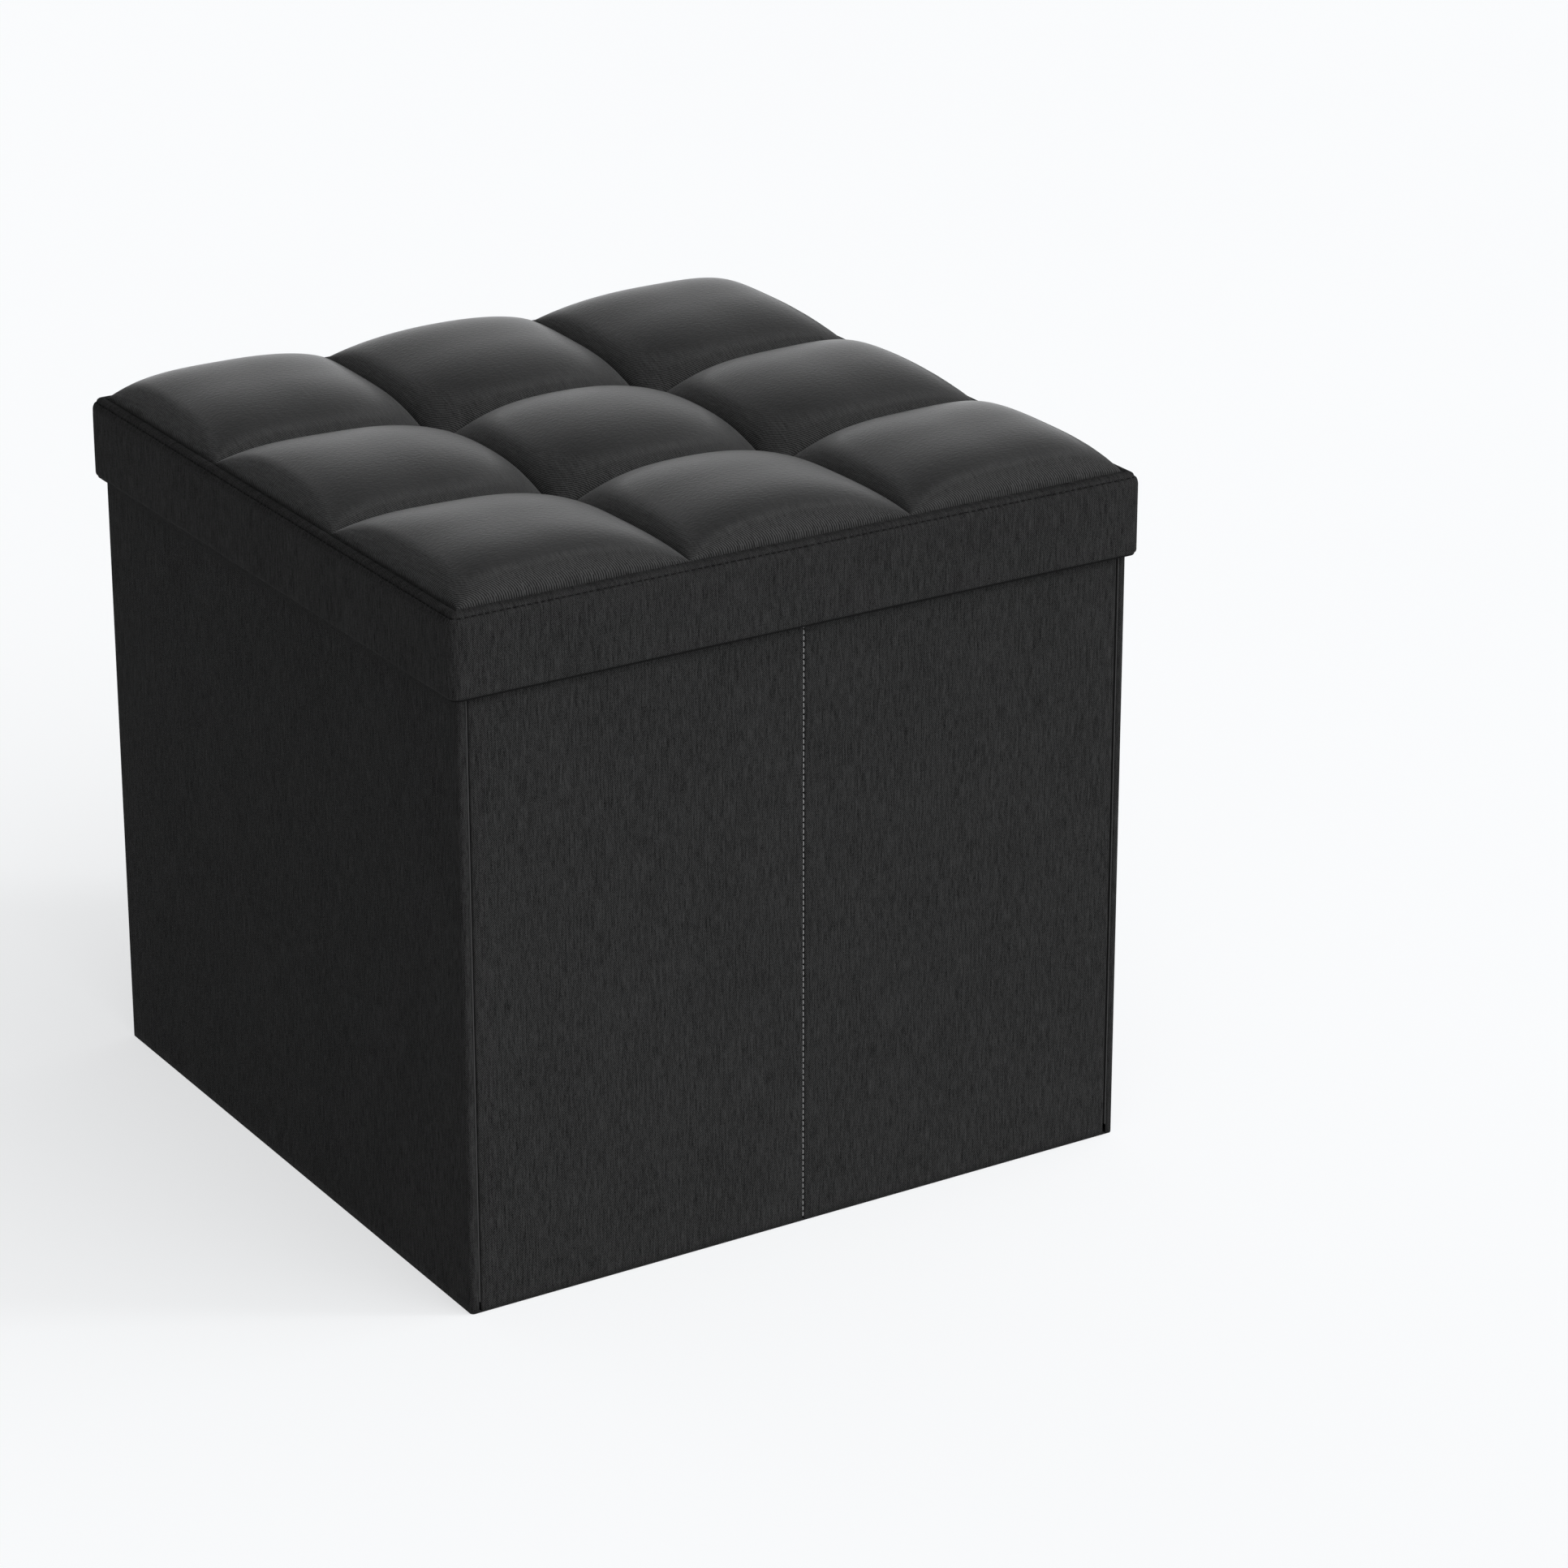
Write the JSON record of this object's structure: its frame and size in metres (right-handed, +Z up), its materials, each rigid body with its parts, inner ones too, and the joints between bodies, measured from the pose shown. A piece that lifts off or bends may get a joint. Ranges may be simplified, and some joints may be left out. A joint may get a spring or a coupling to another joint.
{
  "type": "storage ottoman",
  "caption": "Square storage ottoman in dark linen-look fabric, with a tufted padded lift-off lid, a skirt around the lid, walls that fold flat and a loose base board.",
  "frame": {"origin": "on the ground, under the middle of the box", "axes": "+Z up; the front, which has the stitched crease, faces -Y; +X is to the right of someone looking at the front"},
  "size_m": [0.38, 0.38, 0.3695],
  "materials": {
    "cover_fabric": "matte charcoal linen-look twill with lighter slubs",
    "lining_fabric": "matte black non-woven",
    "wall_board": "unfinished hardboard",
    "lid_board": "unfinished fibreboard",
    "foam": null,
    "ribbon": "woven ribbon",
    "tie_thread": "waxed tufting thread"
  },
  "bodies": {
    "left_wall": {"left_wall_cover": "cover_fabric", "left_wall_board": "wall_board", "left_wall_lining": "lining_fabric", "fabric_floor": "lining_fabric"},
    "front_left": {"front_left_panel_cover": "cover_fabric", "front_left_panel_board": "wall_board", "front_left_panel_lining": "lining_fabric"},
    "front_right": {"front_right_panel_cover": "cover_fabric", "front_right_panel_board": "wall_board", "front_right_panel_lining": "lining_fabric"},
    "right_wall": {"right_wall_cover": "cover_fabric", "right_wall_board": "wall_board", "right_wall_lining": "lining_fabric"},
    "back_left": {"back_left_panel_cover": "cover_fabric", "back_left_panel_board": "wall_board", "back_left_panel_lining": "lining_fabric"},
    "back_right": {"back_right_panel_cover": "cover_fabric", "back_right_panel_board": "wall_board", "back_right_panel_lining": "lining_fabric"},
    "base": {"base_board": "wall_board", "base_board_cover": "lining_fabric", "base_lift_tab": "ribbon"},
    "lid": {"lid_board": "lid_board", "lid_lining": "lining_fabric", "lid_left_rail": "wall_board", "lid_right_rail": "wall_board", "lid_front_rail": "wall_board", "lid_back_rail": "wall_board", "lid_skirt_cover": "cover_fabric", "cushion_foam": "foam", "cushion_cover": "cover_fabric", "tuft_tie_1": "tie_thread", "tuft_tie_2": "tie_thread", "tuft_tie_3": "tie_thread", "tuft_tie_4": "tie_thread"}
  },
  "joints": [
    {"name": "fold_front_left", "type": "hinge", "parent": "left_wall", "child": "front_left", "pos_m": [-0.1795, -0.1795, 0], "axis": [0, 0, 1], "range_deg": [0, 90], "deforming": ["fabric_floor"]},
    {"name": "fold_front_crease", "type": "hinge", "parent": "front_left", "child": "front_right", "pos_m": [0, -0.1856, 0], "axis": [0, 0, 1], "range_deg": [-180, 0]},
    {"name": "fold_right_wall", "type": "hinge", "parent": "front_right", "child": "right_wall", "pos_m": [0.1795, -0.1795, 0], "axis": [0, 0, 1], "range_deg": [0, 90]},
    {"name": "fold_back_left", "type": "hinge", "parent": "left_wall", "child": "back_left", "pos_m": [-0.1795, 0.1795, 0], "axis": [0, 0, 1], "range_deg": [-90, 0]},
    {"name": "fold_back_crease", "type": "hinge", "parent": "back_left", "child": "back_right", "pos_m": [0, 0.1856, 0], "axis": [0, 0, 1], "range_deg": [0, 180]},
    {"name": "base_lift", "type": "hinge", "parent": "left_wall", "child": "base", "pos_m": [0.1792, 0, 0.0047], "axis": [0, 1, 0], "range_deg": [0, 55]},
    {"name": "lid_lift", "type": "slide", "parent": "left_wall", "child": "lid", "axis": [0, 0, 1], "range_m": [0, 0.25]}
  ],
  "couplings": [
    {"joint": "fold_front_crease", "follows": "fold_front_left", "ratio": -2},
    {"joint": "fold_right_wall", "follows": "fold_front_left", "ratio": 1},
    {"joint": "fold_back_left", "follows": "fold_front_left", "ratio": -1},
    {"joint": "fold_back_crease", "follows": "fold_front_left", "ratio": 2}
  ]
}
